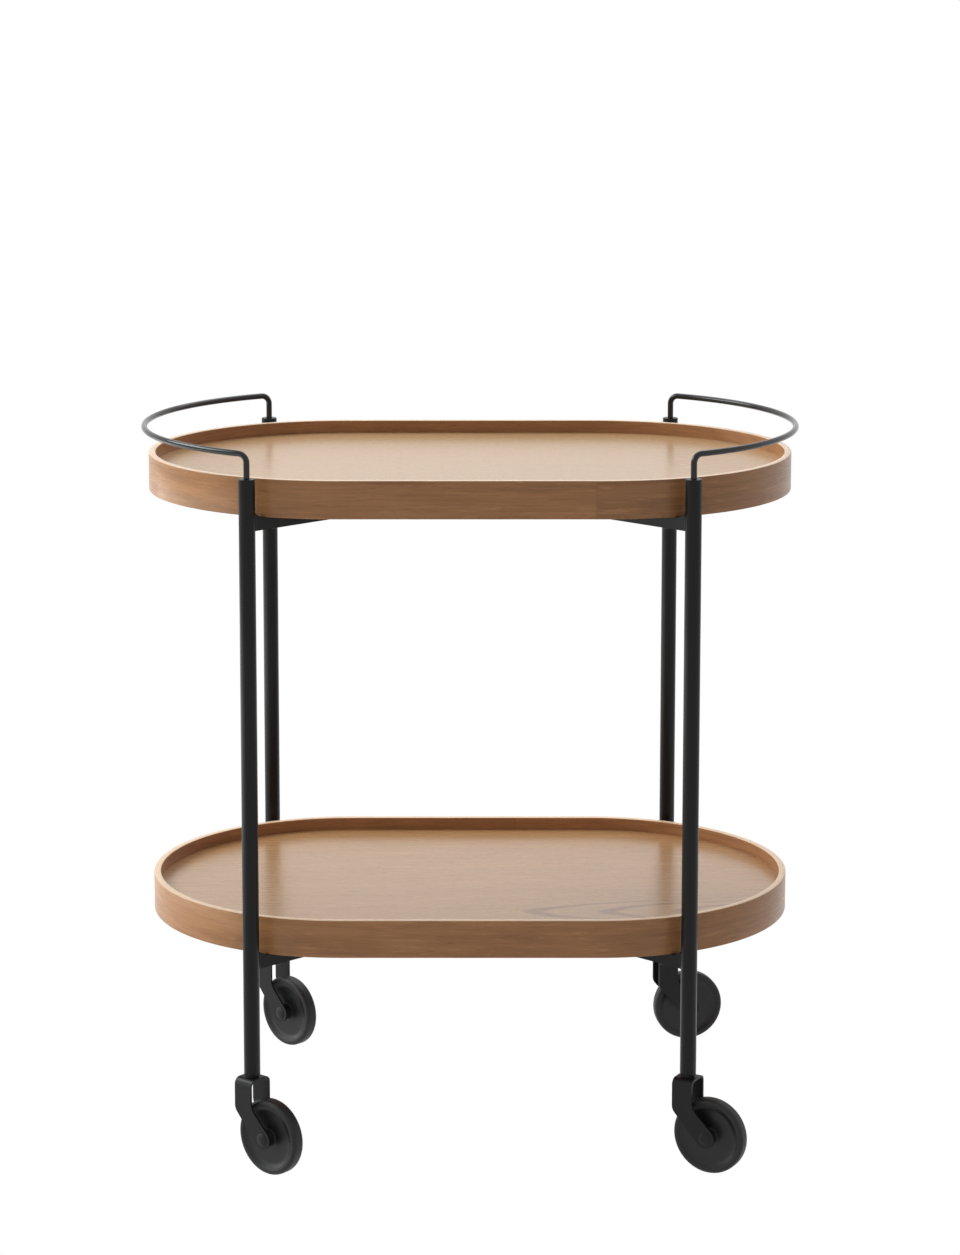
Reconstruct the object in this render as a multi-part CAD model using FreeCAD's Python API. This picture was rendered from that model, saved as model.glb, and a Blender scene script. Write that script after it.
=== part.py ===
import FreeCAD, Part
import math
import os

os.makedirs("parts", exist_ok=True)

# A serving trolley: two oval trays, four tube legs, a wire handle at each end
# and four swivel casters. Millimetres, +X along the trays, +Y to the back, +Z up.
# It is drawn about the trays' middle and then moved, so that the origin is on the
# ground below the middle of the trolley's overall box.

V = FreeCAD.Vector
UP = V(0, 0, 1)
ORIGIN = V(0, 0, 0)

# Trays: a bent band of wood glued round a flat board
tray_length = 650.0
tray_width = 394.0
rim_height = 37.5
rim_thickness = 7.0
floor_drop = 13.0
upper_tray_base = 649.5
lower_tray_base = 213.5

# Legs: round steel tubes standing outside the rims
leg_diameter = 16.0
leg_wall = 1.5
leg_rim_gap = 10.5
leg_angle_deg = 66.4
leg_rise = 2.0

# Bushes pressed into the legs' top ends, which hold the handles
bush_length = 28.0
tube_fit = 0.05

# Handles: wire bent round each end of the upper tray, drawn with narrow flats
rod_diameter = 6.0
rod_sides = 16
rod_depth = 24.0
rod_fit = 0.05
handle_rise = 26.0
handle_overhang = 4.0
handle_bend_radius = 9.0

# Crossed flat bars under each tray, welded to the legs and halved where they meet
bar_height = 12.0
bar_thickness = 5.0
lap_gap = 0.1

# Caster stems: thick in the leg's bore and down to the fork, thin through the fork
stem_seat_length = 26.0
stem_collar = 2.0
stem_diameter = 8.0
stem_head_diameter = 13.0
stem_head_height = 2.5
swivel_fit = 0.05
swivel_play = 0.1

# Caster wheels: a soft tyre round a thinner disc with a hub
wheel_diameter = 75.0
wheel_width = 14.0
tyre_depth = 7.0
disc_thickness = 8.0
hub_diameter = 16.0
hub_play = 0.3
axle_fit = 0.05
tyre_side_gap = 4.9

# Caster forks: a strap of sheet steel folded over the wheel, both cheeks swept back
fork_rise = 56.0
fork_strap = 21.4
fork_sheet = 2.0
fork_bend_radius = 4.5
fork_end_radius = 10.0
fork_front_lean_deg = 42.0
fork_rear_lean_deg = 46.0
fork_front_sweep = 11.0
fork_rear_sweep = 16.0
caster_trail = 25.0

# Axles: pins riveted into the forks' cheeks
axle_diameter = 6.0

# The way each caster trails at rest, counted from +X towards +Y
front_left_trail_deg = -40.0
front_right_trail_deg = -29.0
back_left_trail_deg = -45.0
back_right_trail_deg = 12.0

# Room that a cutting shape has past what it cuts
overcut = 1.0

# Places that follow from the sizes above
wheel_radius = wheel_diameter / 2
leg_radius = leg_diameter / 2
seat_diameter = leg_diameter - 2 * leg_wall - 2 * tube_fit
upper_tray_top = upper_tray_base + rim_height
floor_thickness = rim_height - floor_drop
fork_top = wheel_radius + fork_rise
leg_foot = fork_top + stem_collar
leg_top = upper_tray_top + leg_rise
handle_height = upper_tray_top + handle_rise
cheek_gap = wheel_width + 2 * tyre_side_gap
fork_width = cheek_gap + 2 * fork_sheet
cheek_end = V(caster_trail, 0, wheel_radius)

end_radius = tray_width / 2
end_centre_x = tray_length / 2 - end_radius
leg_reach = end_radius + leg_rim_gap + leg_radius
leg_x = end_centre_x + leg_reach * math.cos(math.radians(leg_angle_deg))
leg_y = leg_reach * math.sin(math.radians(leg_angle_deg))
leg_places = {
    "front_left": V(-leg_x, -leg_y, 0),
    "front_right": V(leg_x, -leg_y, 0),
    "back_left": V(-leg_x, leg_y, 0),
    "back_right": V(leg_x, leg_y, 0),
}
trail_deg = {
    "front_left": front_left_trail_deg,
    "front_right": front_right_trail_deg,
    "back_left": back_left_trail_deg,
    "back_right": back_right_trail_deg,
}


def rod(diameter, start, length, axis=UP):
    """A round bar from a point along an axis."""
    return Part.makeCylinder(diameter / 2, length, start, axis)


def oval(length, width, base, height):
    """An upright prism whose plan is a rectangle with half-round ends."""
    r = width / 2
    x = length / 2 - r
    corners = [V(-x, -r, base), V(x, -r, base), V(x, r, base), V(-x, r, base)]
    outline = Part.Wire([
        Part.LineSegment(corners[0], corners[1]).toShape(),
        Part.Arc(corners[1], V(x + r, 0, base), corners[2]).toShape(),
        Part.LineSegment(corners[2], corners[3]).toShape(),
        Part.Arc(corners[3], V(-x - r, 0, base), corners[0]).toShape(),
    ])
    return Part.Face(outline).extrude(UP * height)


def tray_rim(base):
    """The bent band round a tray."""
    inner_length = tray_length - 2 * rim_thickness
    inner_width = tray_width - 2 * rim_thickness
    band = oval(tray_length, tray_width, base, rim_height)
    return band.cut(oval(inner_length, inner_width, base - overcut, rim_height + 2 * overcut))


def tray_floor(base):
    """The board inside the band."""
    inner_length = tray_length - 2 * rim_thickness
    inner_width = tray_width - 2 * rim_thickness
    return oval(inner_length, inner_width, base, floor_thickness)


def leg(place):
    """A tube from its caster to just above the upper rim."""
    foot = place + UP * leg_foot
    length = leg_top - leg_foot
    tube = rod(leg_diameter, foot, length)
    return tube.cut(rod(leg_diameter - 2 * leg_wall, foot - UP * overcut, length + 2 * overcut))


def leg_bush(place):
    """A bush flush with the leg's top end, bored for the handle's wire."""
    top = place + UP * leg_top
    bush = rod(seat_diameter, top, bush_length, -UP)
    return bush.cut(rod(rod_diameter + 2 * rod_fit, top + UP * overcut,
                        bush_length + 2 * overcut, -UP))


def wire_section(centre, axis):
    """The wire's section across an axis."""
    side = axis.cross(V(0, 0, 1)) if abs(axis.z) < abs(axis.x) + abs(axis.y) else V(1, 0, 0)
    side.normalize()
    other = axis.cross(side).normalize()
    turns = [2 * math.pi * (i + 0.5) / rod_sides for i in range(rod_sides)]
    ring = [centre + (side * math.cos(a) + other * math.sin(a)) * (rod_diameter / 2)
            for a in turns]
    return Part.Face(Part.makePolygon(ring + ring[:1]))


def handle(side):
    """A wire up from one leg, round the tray's end and down into the other leg."""
    reach = tray_length / 2 + handle_overhang - leg_x
    bend = handle_bend_radius
    sweep_radius = (reach ** 2 + leg_y ** 2 - bend ** 2) / (2 * reach)
    centre = V(leg_x + reach - sweep_radius, 0, 0)
    half_sweep = math.atan2(leg_y, leg_x - centre.x) - math.atan2(bend, sweep_radius)
    start = V(math.cos(half_sweep), -math.sin(half_sweep), 0) * sweep_radius + centre
    along = V(math.sin(half_sweep), math.cos(half_sweep), 0)
    section = wire_section(start + UP * handle_height, along)
    piece = section.revolve(centre, UP, 2 * math.degrees(half_sweep))
    for end in (-1, 1):
        tangent = V(along.x, -end * along.y, 0)
        hub = V(leg_x, end * leg_y, handle_height - bend) + tangent * bend
        hinge = UP.cross(tangent)
        section = wire_section(hub + UP * bend, tangent)
        elbow = section.revolve(hub, hinge, -90)
        section.rotate(hub, hinge, -90)
        upright = section.extrude(-UP * (handle_height - bend - leg_top + rod_depth))
        piece = piece.fuse(elbow).fuse(upright)
    piece = piece.removeSplitter()
    if side == "left":
        piece = piece.mirror(ORIGIN, V(1, 0, 0))
    return piece


def bar_angle():
    """The angle in plan of the bar that starts at the front left leg."""
    return math.degrees(math.atan2(leg_y, leg_x))


def bar_blank(angle, top, thickness, height):
    """A flat bar on edge through the trolley's middle, from leg axis to leg axis."""
    half = math.hypot(leg_x, leg_y)
    blank = Part.makeBox(2 * half, thickness, height, V(-half, -thickness / 2, top - height))
    return blank.rotate(ORIGIN, UP, angle)


def cross_bar(angle, base, lap_from_top):
    """One diagonal: its ends coped to the legs, its middle halved for the other bar."""
    bar = bar_blank(angle, base, bar_thickness, bar_height)
    for place in leg_places.values():
        foot = place + UP * (base - bar_height - overcut)
        bar = bar.cut(rod(leg_diameter, foot, bar_height + 2 * overcut))
    lap_top = base + overcut if lap_from_top else base - bar_height / 2
    lap_height = bar_height / 2 + overcut
    return bar.cut(bar_blank(180 - angle, lap_top, bar_thickness + 2 * lap_gap, lap_height))


def turned(points):
    """A round piece turned about the wheel's axle from (radius, offset) points."""
    outline = [V(r, y, 0) for r, y in points + [(r, -y) for r, y in reversed(points)]]
    face = Part.Face(Part.makePolygon(outline + outline[:1]))
    return face.revolve(ORIGIN, V(0, 1, 0), 360)


def tyre():
    """The soft ring that rolls on the ground."""
    return turned([
        (wheel_radius - tyre_depth, wheel_width / 2),
        (wheel_radius, wheel_width / 2),
    ])


def wheel_disc():
    """The disc inside the tyre, its hub reaching almost to the cheeks."""
    return turned([
        (axle_diameter / 2 + axle_fit, cheek_gap / 2 - hub_play),
        (hub_diameter / 2, cheek_gap / 2 - hub_play),
        (hub_diameter / 2, disc_thickness / 2),
        (wheel_radius - tyre_depth, disc_thickness / 2),
    ])


def axle():
    """A pin across the fork, flush with the cheeks' outer faces."""
    return rod(axle_diameter, V(0, -fork_width / 2, 0), fork_width, V(0, 1, 0))


def cheek_edge(x, lean_deg, sweep, away):
    """A cheek's long edge: down from the top, a bend, and back to the rounded end.

    Returns its line, bend and line, and the point where it meets the end."""
    lean = math.radians(lean_deg)
    down = V(math.sin(lean), 0, -math.cos(lean))
    meet = cheek_end + V(math.cos(lean), 0, math.sin(lean)) * (away * fork_end_radius)
    corner = meet - down * ((meet.x - x) / math.sin(lean))
    trim = sweep * math.tan(lean / 2)
    bend_start = corner + UP * trim
    bend_end = corner + down * trim
    outward = V(math.cos(lean / 2), 0, math.sin(lean / 2))
    bend_mid = bend_start + V(sweep, 0, 0) - outward * sweep
    return [
        Part.LineSegment(V(x, 0, fork_top), bend_start).toShape(),
        Part.Arc(bend_start, bend_mid, bend_end).toShape(),
        Part.LineSegment(bend_end, meet).toShape(),
    ], meet


def cheek_outline():
    """The fork seen from the side: swept cheeks with rounded ends about the axle."""
    half = fork_strap / 2
    front, front_meet = cheek_edge(-half, fork_front_lean_deg, fork_front_sweep, -1)
    rear, rear_meet = cheek_edge(half, fork_rear_lean_deg, fork_rear_sweep, 1)
    low = math.radians((fork_front_lean_deg + fork_rear_lean_deg) / 2 - 90)
    lowest = cheek_end + V(math.cos(low), 0, math.sin(low)) * fork_end_radius
    closing = Part.LineSegment(V(half, 0, fork_top), V(-half, 0, fork_top)).toShape()
    rounded = Part.Arc(front_meet, lowest, rear_meet).toShape()
    edges = Part.__sortEdges__(front + [rounded] + rear + [closing])
    return Part.Face(Part.Wire(edges))


def bridge(width, top, corner, low):
    """The outline of a bridge seen along X: upright sides under two rounded corners."""
    half = width / 2
    inset = half - corner
    shoulder = top - corner
    drop = corner * math.sqrt(0.5)
    outline = Part.Wire([
        Part.LineSegment(V(0, -half, low), V(0, -half, shoulder)).toShape(),
        Part.Arc(V(0, -half, shoulder), V(0, -inset - drop, shoulder + drop),
                 V(0, -inset, top)).toShape(),
        Part.LineSegment(V(0, -inset, top), V(0, inset, top)).toShape(),
        Part.Arc(V(0, inset, top), V(0, inset + drop, shoulder + drop),
                 V(0, half, shoulder)).toShape(),
        Part.LineSegment(V(0, half, shoulder), V(0, half, low)).toShape(),
        Part.LineSegment(V(0, half, low), V(0, -half, low)).toShape(),
    ])
    return Part.Face(outline)


def fork():
    """The strap folded over the wheel, pierced for the stem and the axle."""
    low = wheel_radius - fork_end_radius - overcut
    length = fork_strap + caster_trail + fork_end_radius + 2 * overcut
    outside = bridge(fork_width, fork_top, fork_bend_radius + fork_sheet, low)
    inside = bridge(cheek_gap, fork_top - fork_sheet, fork_bend_radius, low - overcut)
    folded = outside.extrude(V(length, 0, 0)).cut(inside.extrude(V(length, 0, 0)))
    folded.translate(V(-fork_strap / 2 - overcut, 0, 0))
    side = cheek_outline().extrude(V(0, fork_width, 0))
    side.translate(V(0, -fork_width / 2, 0))
    strap = side.common(folded)
    stem_hole = rod(stem_diameter + 2 * swivel_fit, V(0, 0, fork_top + overcut),
                    fork_sheet + 2 * overcut, -UP)
    axle_hole = rod(axle_diameter, V(caster_trail, -fork_width / 2 - overcut, wheel_radius),
                    fork_width + 2 * overcut, V(0, 1, 0))
    return strap.cut(stem_hole).cut(axle_hole)


def caster_stem():
    """The pin that the fork turns on, with a rivet head under the fork's top."""
    collar_low = fork_top + swivel_play
    web_low = fork_top - fork_sheet - swivel_play
    seat = rod(seat_diameter, V(0, 0, collar_low), leg_foot + stem_seat_length - collar_low)
    pin = rod(stem_diameter, V(0, 0, web_low), collar_low - web_low)
    head = rod(stem_head_diameter, V(0, 0, web_low), stem_head_height, -UP)
    return seat.fuse(pin).fuse(head).removeSplitter()


def on_caster(shape, corner):
    """A caster's piece turned the way its caster trails, under its leg."""
    placed = shape.copy()
    placed.rotate(ORIGIN, UP, trail_deg[corner])
    placed.translate(leg_places[corner])
    return placed


def on_axle(shape, corner):
    """A piece made about the origin, moved to its caster's wheel centre."""
    placed = shape.copy()
    placed.translate(cheek_end)
    return on_caster(placed, corner)


def trays():
    """Both trays with the crossed bars that carry them."""
    nodes = {}
    for level, base in (("upper", upper_tray_base), ("lower", lower_tray_base)):
        nodes[level + "_tray_rim"] = tray_rim(base)
        nodes[level + "_tray_floor"] = tray_floor(base)
        nodes[level + "_cross_bar_front_left"] = cross_bar(bar_angle(), base, True)
        nodes[level + "_cross_bar_front_right"] = cross_bar(180 - bar_angle(), base, False)
    return nodes


def uprights():
    """The legs, the bushes in them and the handles."""
    nodes = {"handle_left": handle("left"), "handle_right": handle("right")}
    for corner, place in leg_places.items():
        nodes["leg_" + corner] = leg(place)
    nodes["leg_top_bushes"] = Part.makeCompound([leg_bush(p) for p in leg_places.values()])
    return nodes


def casters():
    """The four casters, each turned its own way."""
    stems = [on_caster(caster_stem(), corner) for corner in leg_places]
    nodes = {"caster_stems": Part.makeCompound(stems)}
    for corner in leg_places:
        nodes["caster_fork_" + corner] = on_caster(fork(), corner)
        nodes["caster_axle_" + corner] = on_axle(axle(), corner)
        nodes["wheel_disc_" + corner] = on_axle(wheel_disc(), corner)
        nodes["wheel_tyre_" + corner] = on_axle(tyre(), corner)
    return nodes


nodes = {**trays(), **uprights(), **casters()}
extent = Part.makeCompound(list(nodes.values())).optimalBoundingBox(False, False)
to_origin = V(-extent.Center.x, -extent.Center.y, 0)
for name, shape in nodes.items():
    shape.translate(to_origin)
    shape.exportStep("parts/" + name + ".step")
print("legs at x", leg_x, "y", leg_y, "moved by", to_origin.x, to_origin.y)
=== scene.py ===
import math

import bpy
from mathutils import Matrix, Vector


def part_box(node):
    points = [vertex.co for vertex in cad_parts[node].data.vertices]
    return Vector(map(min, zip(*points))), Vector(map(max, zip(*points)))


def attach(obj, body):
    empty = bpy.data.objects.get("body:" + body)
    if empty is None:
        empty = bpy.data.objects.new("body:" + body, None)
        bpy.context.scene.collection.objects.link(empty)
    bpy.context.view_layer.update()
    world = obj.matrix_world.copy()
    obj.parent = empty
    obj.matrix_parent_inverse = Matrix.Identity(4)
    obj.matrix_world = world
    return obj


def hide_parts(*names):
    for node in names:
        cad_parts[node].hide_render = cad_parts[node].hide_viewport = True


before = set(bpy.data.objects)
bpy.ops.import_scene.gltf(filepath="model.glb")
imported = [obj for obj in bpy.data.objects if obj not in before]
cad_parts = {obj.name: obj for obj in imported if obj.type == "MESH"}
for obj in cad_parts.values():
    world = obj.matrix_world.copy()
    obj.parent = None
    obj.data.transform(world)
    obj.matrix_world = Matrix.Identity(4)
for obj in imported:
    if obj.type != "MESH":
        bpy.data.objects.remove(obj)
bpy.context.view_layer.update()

CORNERS = ("front_left", "front_right", "back_left", "back_right")
UP = Vector((0, 0, 1))
QUARTER = math.pi / 2
WHITE = (1, 1, 1, 1)
FIGURE_BROWN = (0.27, 0.125, 0.045, 1)
PORE_BROWN = (0.17, 0.068, 0.027, 1)
LEG_RADIUS, LEG_WALL = 0.008, 0.0015
WIRE_RADIUS, WIRE_BEND = 0.003, 0.009
FORK_WIDTH, FORK_SIDE, FORK_SHEET, FORK_BEND = 0.0214, 0.0139, 0.002, 0.0065
FRONT_LEAN, REAR_LEAN, FRONT_SWEEP, REAR_SWEEP = 42, 46, 0.011, 0.016
SCREW_FROM_LEG = 0.034
TINY = 0.00001


# Shapes

def centre(node):
    low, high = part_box(node)
    return (Vector(low) + Vector(high)) / 2


mid = centre("upper_tray_rim")


def add_mesh(name, points, faces, material, body, replaced=(), uvs=None, sharp_deg=40):
    """A piece of the trolley from points and faces, which rides on a body and may replace nodes."""
    data = bpy.data.meshes.new(name)
    data.from_pydata([tuple(p) for p in points], [], faces)
    if uvs:
        layer = data.uv_layers.new(name="grain")
        for loop, uv in zip(layer.data, uvs):
            loop.uv = uv
    data.validate()
    data.shade_smooth()
    data.set_sharp_from_angle(angle=math.radians(sharp_deg))
    data.materials.append(material)
    piece = bpy.data.objects.new(name, data)
    bpy.context.collection.objects.link(piece)
    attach(piece, body)
    if replaced:
        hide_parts(*replaced)
    return piece


def skin(rows, loop_rows=False, loop_cols=False, along=None, across=None):
    """Quads over a grid of points, closed where asked, with lengths as texture coordinates."""
    n, m = len(rows), len(rows[0])
    points = [p for row in rows for p in row]
    faces, uvs = [], []
    for i in range(n if loop_rows else n - 1):
        for j in range(m if loop_cols else m - 1):
            i2, j2 = (i + 1) % n, (j + 1) % m
            faces.append((i * m + j, i2 * m + j, i2 * m + j2, i * m + j2))
            if along:
                uvs += [(along[i], across[j]), (along[i + 1], across[j]),
                        (along[i + 1], across[j + 1]), (along[i], across[j + 1])]
    return points, faces, uvs


def arc(x, y, radius, start, end, steps):
    """Points on a circle in a profile's plane, angles in degrees."""
    turns = [math.radians(start + (end - start) * k / steps) for k in range(steps + 1)]
    return [(x + radius * math.cos(t), y + radius * math.sin(t)) for t in turns]


def lathe(profile, place, closed=True, steps=96):
    """Turns a profile of (radius, offset) about the local Y axis of a place."""
    rows = []
    for k in range(steps):
        a = 2 * math.pi * k / steps
        rows.append([place @ Vector((r * math.cos(a), y, r * math.sin(a))) for r, y in profile])
    return skin(rows, loop_rows=True, loop_cols=closed)[:2]


def tube(path, radius, sides=28):
    """A round bar along a path of points, closed at both ends."""
    rows = []
    side = None
    for i, p in enumerate(path):
        ahead = path[min(i + 1, len(path) - 1)] - path[max(i - 1, 0)]
        ahead.normalize()
        if side is None:
            side = ahead.orthogonal().normalized()
        side = (side - ahead * side.dot(ahead)).normalized()
        other = ahead.cross(side)
        ring = [2 * math.pi * k / sides for k in range(sides)]
        rows.append([p + (side * math.cos(a) + other * math.sin(a)) * radius for a in ring])
    points, faces, _ = skin(rows, loop_cols=True)
    faces.append(tuple(range(sides))[::-1])
    faces.append(tuple(range(len(points) - sides, len(points))))
    return points, faces


# Materials

class Nodes:
    """A short way to write the nodes of a material or of the world."""

    def __init__(self, tree):
        self.tree = tree
        self.tree.nodes.clear()

    def add(self, kind):
        return self.tree.nodes.new("ShaderNode" + kind)

    def link(self, source, target):
        if isinstance(source, (int, float, tuple)):
            target.default_value = source
        else:
            self.tree.links.new(source, target)

    def coords(self, kind):
        if kind == "UV":
            node = self.add("UVMap")
            node.uv_map = "grain"
            return node.outputs[0]
        return self.add("TexCoord").outputs[kind]

    def stretch(self, vector, scale, place=(0, 0, 0)):
        node = self.add("Mapping")
        self.link(vector, node.inputs["Vector"])
        node.inputs["Scale"].default_value = scale
        node.inputs["Location"].default_value = place
        return node.outputs[0]

    def noise(self, vector, scale=1.0, detail=3.0, roughness=0.5, distortion=0.0):
        node = self.add("TexNoise")
        self.link(vector, node.inputs["Vector"])
        node.inputs["Scale"].default_value = scale
        node.inputs["Detail"].default_value = detail
        node.inputs["Roughness"].default_value = roughness
        node.inputs["Distortion"].default_value = distortion
        return node.outputs[0]

    def ramp(self, value, low, high, to_low=0.0, to_high=1.0, smooth=True):
        node = self.add("MapRange")
        node.interpolation_type = "SMOOTHSTEP" if smooth else "LINEAR"
        self.link(value, node.inputs["Value"])
        for name, v in zip(("From Min", "From Max", "To Min", "To Max"), (low, high, to_low, to_high)):
            node.inputs[name].default_value = v
        return node.outputs["Result"]

    def math(self, kind, a, b=0.0):
        node = self.add("Math")
        node.operation = kind
        self.link(a, node.inputs[0])
        self.link(b, node.inputs[1])
        return node.outputs[0]

    def mix(self, share, a, b):
        node = self.add("Mix")
        node.data_type = "RGBA"
        self.link(share, node.inputs["Factor"])
        self.link(a, node.inputs["A"])
        self.link(b, node.inputs["B"])
        return node.outputs["Result"]

    def split(self, vector):
        node = self.add("SeparateXYZ")
        self.link(vector, node.inputs[0])
        return node.outputs

    def join(self, x, y, z):
        node = self.add("CombineXYZ")
        for value, target in zip((x, y, z), node.inputs):
            self.link(value, target)
        return node.outputs[0]

    def show_white(self, shader, plain_kind, out):
        """A shader for the object's light, and plain white where the background is looked at."""
        path = self.add("LightPath")
        looked_at = path.outputs["Is Camera Ray"]
        for kind in ("Is Glossy Ray", "Is Transmission Ray"):
            looked_at = self.math("MAXIMUM", looked_at, path.outputs[kind])
        plain = self.add(plain_kind)
        plain.inputs["Color"].default_value = WHITE
        blend = self.add("MixShader")
        for source, target in zip((looked_at, shader, plain.outputs[0]), blend.inputs):
            self.link(source, target)
        self.link(blend.outputs[0], out.inputs["Surface"])


class Material(Nodes):
    """A material with one principled shader."""

    def __init__(self, name):
        self.material = bpy.data.materials.new(name)
        self.material.use_nodes = True
        super().__init__(self.material.node_tree)
        self.out = self.add("OutputMaterial")
        self.shader = self.add("BsdfPrincipled")
        self.link(self.shader.outputs[0], self.out.inputs["Surface"])

    def set(self, **values):
        for name, value in values.items():
            self.link(value, self.shader.inputs[name.replace("_", " ")])

    def bump(self, height, distance):
        node = self.add("Bump")
        node.inputs["Distance"].default_value = distance
        self.link(height, node.inputs["Height"])
        self.link(node.outputs[0], self.shader.inputs["Normal"])


def wood(name, kind, seed, pale, deep, roughness, contrast=1.0, varnish=0.0, seam=None, figure=None,
         top_light=None, ior=1.5):
    """Satin oak. The grain runs along the first coordinate; lengths are in metres.

    The tone mixes the pale and the deep colour, and the contrast scales its changes. The seam adds
    to the tone, the figure is a share of brown, and the colour of faces that look up is a painted
    highlight: paler wood where light falls on top.
    """
    n = Material(name)
    p = n.coords(kind)
    place = (seed * 3.1, seed * 1.7, seed)
    wave = n.noise(n.stretch(p, (2.2, 9, 9), place), 1, 2)
    bent = n.split(p)
    sway = n.math("MULTIPLY", n.math("SUBTRACT", wave, 0.5), 0.02)
    p = n.join(bent[0], n.math("ADD", bent[1], sway), bent[2])
    broad = n.noise(n.stretch(p, (1.4, 22, 22), place), 1, 3)
    lines = n.noise(n.stretch(p, (5, 210, 210), place), 1, 4, 0.6)
    fibre = n.noise(n.stretch(p, (28, 1500, 1500), place), 1, 3, 0.6)
    pores = n.ramp(n.noise(n.stretch(p, (70, 2100, 2100), place), 1, 2), 0.6, 0.72)
    flecks = n.noise(n.stretch(p, (26, 420, 420), place), 1, 3, 0.7, 0.6)
    blots = n.noise(n.stretch(p, (11, 75, 75), place), 1, 3, 0.6, 0.4)
    tone = n.math("ADD", n.ramp(broad, 0.3, 0.7, -0.4, 0.4), n.ramp(lines, 0.3, 0.7, -0.4, 0.4))
    tone = n.math("ADD", tone, n.ramp(fibre, 0.3, 0.7, -0.25, 0.25))
    tone = n.math("SUBTRACT", tone, n.ramp(flecks, 0.57, 0.67, 0.0, 1.4))
    tone = n.math("ADD", tone, n.ramp(flecks, 0.32, 0.43, 1.1, 0.0))
    tone = n.math("ADD", tone, n.ramp(blots, 0.35, 0.65, -0.45, 0.45))
    tone = n.math("MULTIPLY", tone, contrast)
    if seam:
        tone = n.math("ADD", tone, seam(n, bent[0]))
    share = n.ramp(tone, -1.2, 1.2, smooth=False)
    colour = n.mix(share, pale + (1,), deep + (1,))
    if figure:
        colour = n.mix(figure(n, p), colour, FIGURE_BROWN)
    colour = n.mix(n.math("MULTIPLY", pores, 0.28 * contrast), colour, PORE_BROWN)
    # Painted highlight: faces that look up get a paler colour in place of the light that falls on the
    # rims' top.
    if top_light:
        facing = n.split(n.coords("Normal"))[2]
        colour = n.mix(n.ramp(facing, 0.5, 0.9, 0.0, 0.9), colour, top_light + (1,))
    rough = n.math("ADD", n.ramp(fibre, 0.2, 0.8, roughness - 0.03, roughness + 0.04),
                   n.math("MULTIPLY", pores, 0.15))
    n.set(Base_Color=colour, Roughness=rough, IOR=ior, Coat_Weight=varnish, Coat_Roughness=0.24)
    n.bump(n.math("SUBTRACT", n.math("MULTIPLY", fibre, 0.4), pores), 0.00004)
    return n.material


def cathedral(n, p):
    """Nested arches of plain-sawn grain that open to the right, near the front of a board."""
    tip_x, middle_y, bow, per_metre = 0.07, -0.106, 94.0, 84.0
    x, y, _ = n.split(p)
    wander = n.math("SUBTRACT", n.noise(n.stretch(p, (7, 30, 30)), 1, 3), 0.5)
    drift = n.math("MULTIPLY", wander, 0.008)
    off = n.math("ADD", y, n.math("ADD", drift, -middle_y))
    curve = n.math("MULTIPLY", n.math("MULTIPLY", off, off), bow)
    depth = n.math("SUBTRACT", n.math("SUBTRACT", x, tip_x), curve)
    waver = n.math("MULTIPLY", n.noise(n.stretch(p, (14, 60, 60)), 1, 3), 0.012)
    rings = n.math("COSINE", n.math("MULTIPLY", n.math("ADD", depth, waver), per_metre))
    lines = n.ramp(rings, 0.3, 0.95)
    inside = n.ramp(n.math("ABSOLUTE", off), 0.03, 0.06, 1.0, 0.0)
    near = n.math("MULTIPLY", n.ramp(depth, -0.05, -0.015), inside)
    return n.math("MULTIPLY", n.math("MULTIPLY", lines, near), 0.9)


def joint(n, x):
    """The end joint of a bent band: a fine line, darker wood just past it."""
    line = n.ramp(x, 0.0002, 0.0006, 1.6, 0.0)
    dark = n.ramp(x, 0.0, 0.16, 0.75, 0.0)
    return n.math("ADD", line, dark)


def coated_metal(name, colour, roughness, grain=0.000012, ior=1.3):
    """Black powder coat: a fine peel, and small changes in sheen."""
    n = Material(name)
    p = n.coords("Object")
    peel = n.noise(p, 1900, 2)
    cloud = n.noise(p, 22, 3)
    rough = n.math("ADD", n.ramp(cloud, 0.3, 0.7, roughness - 0.04, roughness + 0.05),
                   n.ramp(peel, 0.3, 0.7, -0.03, 0.03))
    worn = n.ramp(n.noise(p, 160, 4, 0.65), 0.68, 0.78, 0.0, 0.35)
    base = n.mix(worn, colour, tuple(c * 1.9 for c in colour[:3]) + (1,))
    n.set(Base_Color=base, Roughness=rough, IOR=ior)
    n.bump(peel, grain)
    return n.material


def moulded(name, colour, roughness, scale, depth, dust=0.25):
    """Moulded rubber or plastic with a fine texture and a trace of dust."""
    n = Material(name)
    p = n.coords("Object")
    fine = n.noise(p, scale, 3, 0.6)
    dusty = n.ramp(n.noise(p, 75, 4, 0.7), 0.5, 0.75, 0.0, dust)
    base = n.mix(dusty, colour, tuple(c * 1.6 + 0.004 for c in colour[:3]) + (1,))
    n.set(Base_Color=base, IOR=1.4,
          Roughness=n.math("ADD", n.ramp(fine, 0.3, 0.7, roughness - 0.05, roughness + 0.05),
                           n.math("MULTIPLY", dusty, 0.3)))
    n.bump(fine, depth)
    return n.material


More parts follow.
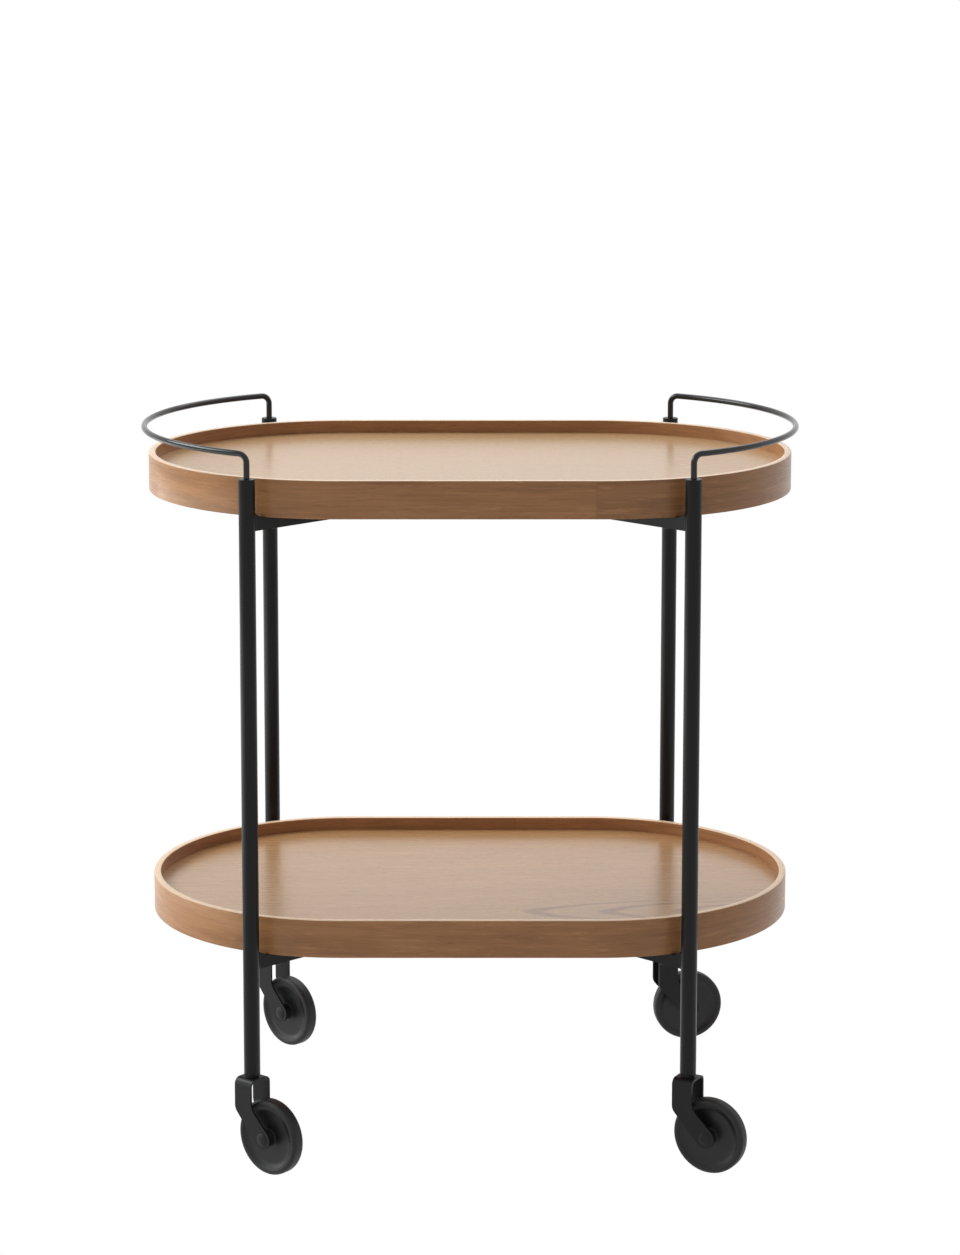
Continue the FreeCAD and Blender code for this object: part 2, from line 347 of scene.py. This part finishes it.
BAND = ((0.535, 0.252, 0.105), (0.338, 0.147, 0.053))
UPPER_BOARD = ((0.58, 0.354, 0.174), (0.456, 0.272, 0.127))
LOWER_BOARD = ((0.52, 0.29, 0.131), (0.398, 0.215, 0.091))
# Painted highlight: the paler colour given to the rims' faces that look up.
PAINTED_TOP_LIGHT = (0.92, 0.68, 0.48)
upper_band = wood("oak_band_upper", "UV", 1.3, *BAND, roughness=0.28, seam=joint, top_light=PAINTED_TOP_LIGHT,
                  ior=1.4)
lower_band = wood("oak_band_lower", "UV", 4.9, *BAND, roughness=0.28, seam=joint, top_light=PAINTED_TOP_LIGHT,
                  ior=1.4)
upper_board = wood("oak_board_upper", "Object", 2.7, *UPPER_BOARD, roughness=0.24, contrast=0.26,
                   varnish=0.18)
lower_board = wood("oak_board_lower", "Object", 7.4, *LOWER_BOARD, roughness=0.26, contrast=0.7,
                   varnish=0.34, figure=cathedral)
black_steel = coated_metal("black_powder_coat", (0.0045, 0.0045, 0.0047, 1), 0.34)
wire_steel = coated_metal("black_wire_coat", (0.005, 0.005, 0.0052, 1), 0.12, 0.000004, 1.42)
fork_steel = coated_metal("black_fork_coat", (0.0127, 0.0113, 0.0125, 1), 0.34)
stem_steel = coated_metal("dark_plated_steel", (0.02, 0.02, 0.021, 1), 0.35)
rubber = moulded("black_rubber", (0.0127, 0.0114, 0.0132, 1), 0.5, 1300, 0.00004)
plastic = moulded("black_plastic", (0.0107, 0.0097, 0.0114, 1), 0.36, 1700, 0.00002)
# Painted shade: a darker, duller plastic for the hubs, standing in for the shade between the fork's
# cheeks.
hub_painted_shade = moulded("black_hub_painted_shade", (0.003, 0.003, 0.003, 1), 0.6, 1500, 0.00002, 0.1)


# Trays

def half_turn(middle_x, r, start, steps=72):
    """A tray's round end: points and outward directions over half a turn."""
    run = []
    for k in range(steps + 1):
        a = start + math.pi * k / steps
        out = Vector((math.cos(a), math.sin(a), 0))
        run.append((Vector((middle_x, 0, 0)) + out * r, out))
    return run


def oval_path(half_length, half_width, start_x):
    """Once round a tray from a place on its front face: points, outward directions, lengths."""
    r = half_width
    straight = half_length - r
    front, back = Vector((0, -1, 0)), Vector((0, 1, 0))
    path = [(Vector((x, -r, 0)), front) for x in (start_x, (start_x + straight) / 2)]
    path += half_turn(straight, r, -QUARTER)
    path.append((Vector((0, r, 0)), back))
    path += half_turn(-straight, r, QUARTER)
    path.append((Vector(((start_x - straight) / 2, -r, 0)), front))
    lengths = [0.0]
    for i in range(len(path)):
        lengths.append(lengths[-1] + (path[(i + 1) % len(path)][0] - path[i][0]).length)
    return path, lengths


def tray_rim(level, material, start_x, face):
    """A bent rim whose end joint is at start_x, on the front (face 1) or the back (face -1)."""
    low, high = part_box(level + "_tray_rim")
    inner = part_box(level + "_tray_floor")[1]
    thick = high[0] - inner[0]
    top, bottom, ease, small = high[2], low[2], 0.001, 0.0003
    profile = arc(-thick + small, bottom + small, small, 270, 180, 3)
    profile += arc(-thick + ease, top - ease, ease, 180, 90, 4)
    profile += arc(-ease, top - ease, ease, 90, 0, 4)
    profile += arc(-small, bottom + small, small, 360, 270, 3)
    path, along = oval_path(high[0], high[1] - mid.y, start_x)
    rows = [[(p + out * d) * face + Vector((0, mid.y, z)) for d, z in profile] for p, out in path]
    across = [0.0]
    for j in range(len(profile)):
        a, b = profile[j], profile[(j + 1) % len(profile)]
        across.append(across[-1] + math.dist(a, b))
    points, faces, uvs = skin(rows, True, True, along, across)
    node = level + "_tray_rim"
    add_mesh(level + "_bent_rim", points, faces, material, "frame", [node], uvs)


tray_rim("upper", upper_band, 0.121, 1)
tray_rim("lower", lower_band, -0.05, -1)


# Legs and handles

def leg(corner):
    """A tube with eased outer edges at both ends."""
    low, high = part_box("leg_" + corner)
    r, post = (high[0] - low[0]) / 2, centre("leg_" + corner)
    bore, ease = r - LEG_WALL, 0.0006
    profile = [(bore, low[2]), (r - ease, low[2])] + arc(r - ease, low[2] + ease, ease, 270, 360, 3)
    profile += arc(r - ease, high[2] - ease, ease, 0, 90, 3) + [(bore, high[2])]
    place = Matrix.Translation((post.x, post.y, 0)) @ Matrix.Rotation(QUARTER, 4, "X")
    points, faces = lathe(profile, place, steps=72)
    add_mesh("tube_" + corner, points, faces, black_steel, "frame", ["leg_" + corner])


def handle_end(foot, tangent, top, steps=12):
    """From a handle's foot up its post and round the bend, towards the bow."""
    knee = Vector((foot.x, foot.y, top - WIRE_BEND))
    run = [foot, foot + (knee - foot) * 0.5, knee]
    for k in range(1, steps + 1):
        a = QUARTER * k / steps
        run.append(knee + tangent * WIRE_BEND * (1 - math.cos(a)) + UP * WIRE_BEND * math.sin(a))
    return run


def handle(side, sign, steps=80):
    """A wire bow between two posts; it is worked out on the right and mirrored for the left."""
    low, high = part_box("handle_" + side)
    post = centre("leg_back_" + side) - mid
    reach = (high[0] if sign > 0 else -low[0]) - WIRE_RADIUS - abs(post.x)
    top = high[2] - WIRE_RADIUS
    sweep = (reach ** 2 + post.y ** 2 - WIRE_BEND ** 2) / (2 * reach)
    middle = abs(post.x) + reach - sweep
    half = math.atan2(post.y, abs(post.x) - middle) - math.atan2(WIRE_BEND, sweep)
    ends = []
    for end in (-1, 1):
        tangent = Vector((math.sin(half), -end * math.cos(half), 0))
        ends.append(handle_end(Vector((abs(post.x), end * post.y, low[2])), tangent, top))
    bow = [-half + 2 * half * k / steps for k in range(1, steps)]
    path = ends[0] + [Vector((middle + sweep * math.cos(a), sweep * math.sin(a), top)) for a in bow]
    path += ends[1][::-1]
    path = [Vector((p.x * sign, p.y + mid.y, p.z)) for p in path]
    points, faces = tube(path, WIRE_RADIUS)
    if sign < 0:
        faces = [f[::-1] for f in faces]
    add_mesh("wire_handle_" + side, points, faces, wire_steel, "frame",
             ["handle_" + side])


for corner in CORNERS:
    leg(corner)
handle("left", -1)
handle("right", 1)


def fillet(name, post, inward, aside, base, crest):
    """The weld's web on top of a bar, which runs down from the leg."""
    slope = [(0.0072, -0.0002), (0.0072, crest + 0.0002), (0.0098, crest - 0.0002),
             (0.0125, 0.0028), (0.0156, 0.0013), (0.0188, 0.0004), (0.0188, -0.0002)]
    rows = []
    for w, inset in ((-0.0024, 0.0005), (-0.0019, 0.0), (0.0019, 0.0), (0.0024, 0.0005)):
        rows.append([post + inward * t + aside * w + UP * (base + z - (inset if z > 0 else 0))
                     for t, z in slope])
    points, faces, _ = skin(rows, loop_cols=True)
    faces = [f[::-1] for f in faces]
    n = len(slope)
    faces += [tuple(range(n)), tuple(range(3 * n, 4 * n))[::-1]]
    add_mesh("fillet_" + name, points, faces, black_steel, "frame")


def weld(name, post, inward, aside, foot, base, crest):
    """The bead along the line where a bar and its web meet the leg."""
    half_width, turn, bead_radius = 0.0029, 0.001, 0.0014
    knee = base + crest - turn
    path = [(half_width, z) for z in (foot + 0.0004, (foot + base) / 2, base, knee)]
    for k in range(1, 4):
        a = QUARTER * k / 4
        path.append((half_width - turn * (1 - math.cos(a)), knee + turn * math.sin(a)))
    path += [(turn, base + crest), (0.0, base + crest)]
    path += [(-w, z) for w, z in path[-2::-1]]
    path = [post + inward * math.sqrt(LEG_RADIUS ** 2 - w * w) + aside * w + UP * z for w, z in path]
    points, faces = tube(path, bead_radius, 14)
    add_mesh("weld_" + name, points, faces, black_steel, "frame")


def screw(name, seat):
    """The head of the screw that goes up through a bar into the tray."""
    head = [(TINY, 0.0007), (0.0009, 0.0007), (0.0010, 0.0012), (0.0016, 0.0012),
            (0.0021, 0.0009), (0.0023, 0.0004), (0.0023, -0.0002), (TINY, -0.0002)]
    place = Matrix.Translation(seat) @ Matrix.Rotation(QUARTER, 4, "X")
    points, faces = lathe([(r, -y) for r, y in head], place, closed=False, steps=32)
    add_mesh("screw_" + name, points, faces, stem_steel, "frame")


def bar_end(level, corner):
    """The weld at a cross bar's end, built up over the bar, and the screw that holds the tray."""
    low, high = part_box(level + "_cross_bar_front_left")
    post = centre("leg_" + corner)
    post.z = 0
    inward = Vector((mid.x, mid.y, 0)) - post
    inward.normalize()
    aside = UP.cross(inward)
    name = "%s_bar_%s" % (level, corner)
    crest = 0.0046
    fillet(name, post, inward, aside, high[2], crest)
    weld(name, post, inward, aside, low[2], high[2], crest)
    screw(name, post + inward * SCREW_FROM_LEG + UP * low[2])


for level in ("upper", "lower"):
    for corner in CORNERS:
        bar_end(level, corner)


# Casters

def caster_place(corner):
    """The caster's own frame: X the way it trails, Y along the axle, and the trail's length."""
    post, wheel = centre("leg_" + corner), centre("wheel_tyre_" + corner)
    trail = Vector((wheel.x - post.x, wheel.y - post.y))
    turn = math.atan2(trail.y, trail.x)
    return Matrix.Translation((post.x, post.y, 0)) @ Matrix.Rotation(turn, 4, "Z"), trail.length


def both(profile):
    """A profile and its mirror image on the other side of the wheel."""
    return profile + [(r, -y) for r, y in reversed(profile)]


def cheek_edge(start, top, lean_deg, sweep, away, hub, radius, steps=14, end_steps=16):
    """One long border of a cheek in the side view, from the top to the hub's end."""
    lean = math.radians(lean_deg)
    down = Vector((math.sin(lean), -math.cos(lean)))
    meet = hub + Vector((math.cos(lean), math.sin(lean))) * (away * radius)
    corner = meet - down * ((meet.x - start) / math.sin(lean))
    trim = sweep * math.tan(lean / 2)
    hinge = corner + Vector((0, trim)) + Vector((sweep, 0))
    run = [Vector((start, top)), Vector((start, (top + hinge.y) / 2))]
    for k in range(steps + 1):
        a = math.pi + lean * k / steps
        run.append(hinge + Vector((math.cos(a), math.sin(a))) * sweep)
    run.append((run[-1] + meet) / 2)
    first = math.atan2(*(meet - hub).yx)
    last = math.radians((FRONT_LEAN + REAR_LEAN) / 2 - 90)
    if away < 0:
        first = first % (2 * math.pi) - 2 * math.pi
    for k in range(end_steps + 1):
        a = first + (last - first) * k / end_steps
        run.append(hub + Vector((math.cos(a), math.sin(a))) * radius)
    return run


def fork(corner, place, trail, steps=8):
    """A bent strap: down one cheek, over the crown and down the other."""
    low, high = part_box("caster_fork_" + corner)
    wheel = centre("wheel_tyre_" + corner)
    half, end_radius = FORK_WIDTH / 2, wheel.z - low[2]
    hub = Vector((trail, wheel.z))
    shoulder = high[2] - FORK_BEND
    front = cheek_edge(-half, shoulder, FRONT_LEAN, FRONT_SWEEP, -1, hub, end_radius)
    rear = cheek_edge(half, shoulder, REAR_LEAN, REAR_SWEEP, 1, hub, end_radius)
    rows = []
    for f, r in list(zip(front, rear))[::-1]:
        rows.append([(f.x, -FORK_SIDE, f.y), (r.x, -FORK_SIDE, r.y),
                     (r.x, FORK_SHEET - FORK_SIDE, r.y), (f.x, FORK_SHEET - FORK_SIDE, f.y)])
    for k in range(1, steps + 1):
        a = math.pi - QUARTER * k / steps
        (y0, z0), (y1, z1) = [(FORK_BEND - FORK_SIDE + r * math.cos(a), shoulder + r * math.sin(a))
                              for r in (FORK_BEND, FORK_BEND - FORK_SHEET)]
        rows.append([(-half, y0, z0), (half, y0, z0), (half, y1, z1), (-half, y1, z1)])
    rows += [[(x, -y, z) for x, y, z in row] for row in rows[::-1]]
    rows = [[place @ Vector(p) for p in row] for row in rows]
    points, faces, _ = skin(rows, loop_cols=True)
    faces = [f[::-1] for f in faces]
    faces.append((0, 1, 2, 3))
    n = len(points)
    faces.append((n - 1, n - 2, n - 3, n - 4))
    piece = add_mesh("fork_" + corner, points, faces, fork_steel, "caster_" + corner,
                     ["caster_fork_" + corner], sharp_deg=50)
    merge = piece.modifiers.new("weld", "WELD")
    merge.merge_threshold = TINY
    ease = piece.modifiers.new("ease", "BEVEL")
    ease.width, ease.segments, ease.limit_method, ease.angle_limit = 0.0005, 3, "ANGLE", 0.9
    ease.harden_normals = True


def wheel_pieces(corner, hub, radius):
    """The tyre and the dished disc, whose hub is duller than its rim and has a darker plastic that is
    painted shade.
    """
    body = "wheel_" + corner
    tyre = [(0.0305, 0.0036), (0.0305, 0.00535), (0.0312, 0.0059), (0.0320, 0.00645), (0.0328, 0.00685)]
    tyre += arc(radius - 0.0037, 0.0033, 0.0037, 90, 0, 8)
    points, faces = lathe(both(tyre), hub)
    add_mesh("tyre_" + corner, points, faces, rubber, body, ["wheel_tyre_" + corner])
    disc = [(0.00305, 0.0114)] + arc(0.0070, 0.0108, 0.0006, 90, 0, 3)
    disc += arc(0.0094, 0.0046, 0.0014, 180, 270, 4) + [(0.015, 0.003), (0.022, 0.0031)]
    disc += [(0.0255, 0.0033), (0.0271, 0.0036), (0.0284, 0.0041), (0.0295, 0.00475), (0.03048, 0.0053)]
    points, faces = lathe(both(disc), hub)
    piece = add_mesh("disc_" + corner, points, faces, plastic, body,
                     ["wheel_disc_" + corner], sharp_deg=30)
    piece.data.materials.append(hub_painted_shade)
    # Painted shade: faces near the hub take the darker plastic.
    shaded_hub_radius = 0.0092
    for polygon in piece.data.polygons:
        if (hub.inverted() @ polygon.center).xz.length < shaded_hub_radius:
            polygon.material_index = 1


def caster(corner):
    """A fork, its wheel and the pin with its two rivet heads."""
    place, trail = caster_place(corner)
    radius = centre("wheel_tyre_" + corner).z
    fork(corner, place, trail)
    hub = place @ Matrix.Translation((trail, 0, radius))
    wheel_pieces(corner, hub, radius)
    pin = [(TINY, 0.0152), (0.002, 0.0151), (0.004, 0.0149), (0.0055, 0.0145),
           (0.00625, 0.0141), (0.00625, 0.01385), (0.003, 0.01385)]
    points, faces = lathe(both(pin), hub, closed=False, steps=48)
    add_mesh("rivet_" + corner, points, faces, fork_steel, "caster_" + corner,
             ["caster_axle_" + corner])


for corner in CORNERS:
    caster(corner)


# CAD nodes that stay in view

def dress(node, material):
    """Gives a CAD node that stays in view its material."""
    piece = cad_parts[node]
    piece.data.materials.clear()
    piece.data.materials.append(material)
    for polygon in piece.data.polygons:
        polygon.material_index = 0


dress("upper_tray_floor", upper_board)
dress("lower_tray_floor", lower_board)
dress("leg_top_bushes", black_steel)
dress("caster_stems", stem_steel)
for level in ("upper", "lower"):
    for side in ("left", "right"):
        dress(level + "_cross_bar_front_" + side, black_steel)


# Ground, light and camera

def area_light(name, place, target, size, power, colour=(1, 1, 1), height=None):
    data = bpy.data.lights.new(name, "AREA")
    data.energy, data.color, data.size = power, colour, size
    if height:
        data.shape, data.size_y = "RECTANGLE", height
    light = bpy.data.objects.new(name, data)
    light.location = place
    light.rotation_euler = (Vector(target) - Vector(place)).to_track_quat("-Z", "Y").to_euler()
    bpy.context.collection.objects.link(light)
    return light


def ground(half_size=30.0):
    """A floor that shows white, and lights the trolley as a pale floor, dimmer in front."""
    n = Material("pale_floor")
    ahead = n.ramp(n.split(n.coords("Object"))[1], -1.1, -0.35, 0.72, 0.88)
    n.set(Base_Color=n.join(ahead, ahead, ahead), Roughness=0.9)
    n.show_white(n.shader.outputs[0], "Emission", n.out)
    data = bpy.data.meshes.new("floor")
    s = half_size
    data.from_pydata([(-s, -s, 0), (s, -s, 0), (s, s, 0), (-s, s, 0)], [], [(0, 1, 2, 3)])
    data.materials.append(n.material)
    floor = bpy.data.objects.new("floor", data)
    bpy.context.collection.objects.link(floor)


def sky():
    """A world that shows white, and lights the trolley as a studio, bright behind, dim in front."""
    world = bpy.data.worlds.new("studio")
    bpy.context.scene.world = world
    world.use_nodes = True
    n = Nodes(world.node_tree)
    x, y, _ = n.split(n.coords("Generated"))
    back = n.ramp(y, -0.3, 0.7, 0.22, 1.1)
    right = n.ramp(x, 0.4, 0.85, 1.0, 0.3)
    left = n.ramp(x, -0.9, -0.2, 1.3, 1.0)
    studio = n.add("Background")
    studio.inputs["Color"].default_value = WHITE
    n.link(n.math("MULTIPLY", back, n.math("MULTIPLY", right, left)), studio.inputs["Strength"])
    n.show_white(studio.outputs[0], "Background", n.add("OutputWorld"))


ground()
sky()
area_light("left_window", (-2.3, 0.5, 2.05), (0, 0, 0.45), 1.8, 44, (0.92, 1, 0.96), height=1.1)
softbox = area_light("left_softbox", (-1.25, 0.25, 0.22), (0, 0.25, 0.22), 1.8, 4.0,
                     (0.95, 1, 0.95), height=0.4)
softbox.visible_camera = False
area_light("overhead", (0.2, 1.2, 2.5), (0, 0, 0.6), 1.8, 19)

lens = bpy.data.cameras.new("camera")
lens.sensor_width = 36.0
lens.lens = 101.49
lens.shift_x, lens.shift_y = 0.0112, -0.155
lens.clip_end = 100
camera = bpy.data.objects.new("camera", lens)
camera.location = (-0.0041, mid.y - 3.5401, 1.2518)
camera.rotation_euler = (QUARTER - 0.1538, 0, 0)
bpy.context.collection.objects.link(camera)
bpy.context.scene.camera = camera
bpy.context.scene.view_settings.view_transform = "Standard"
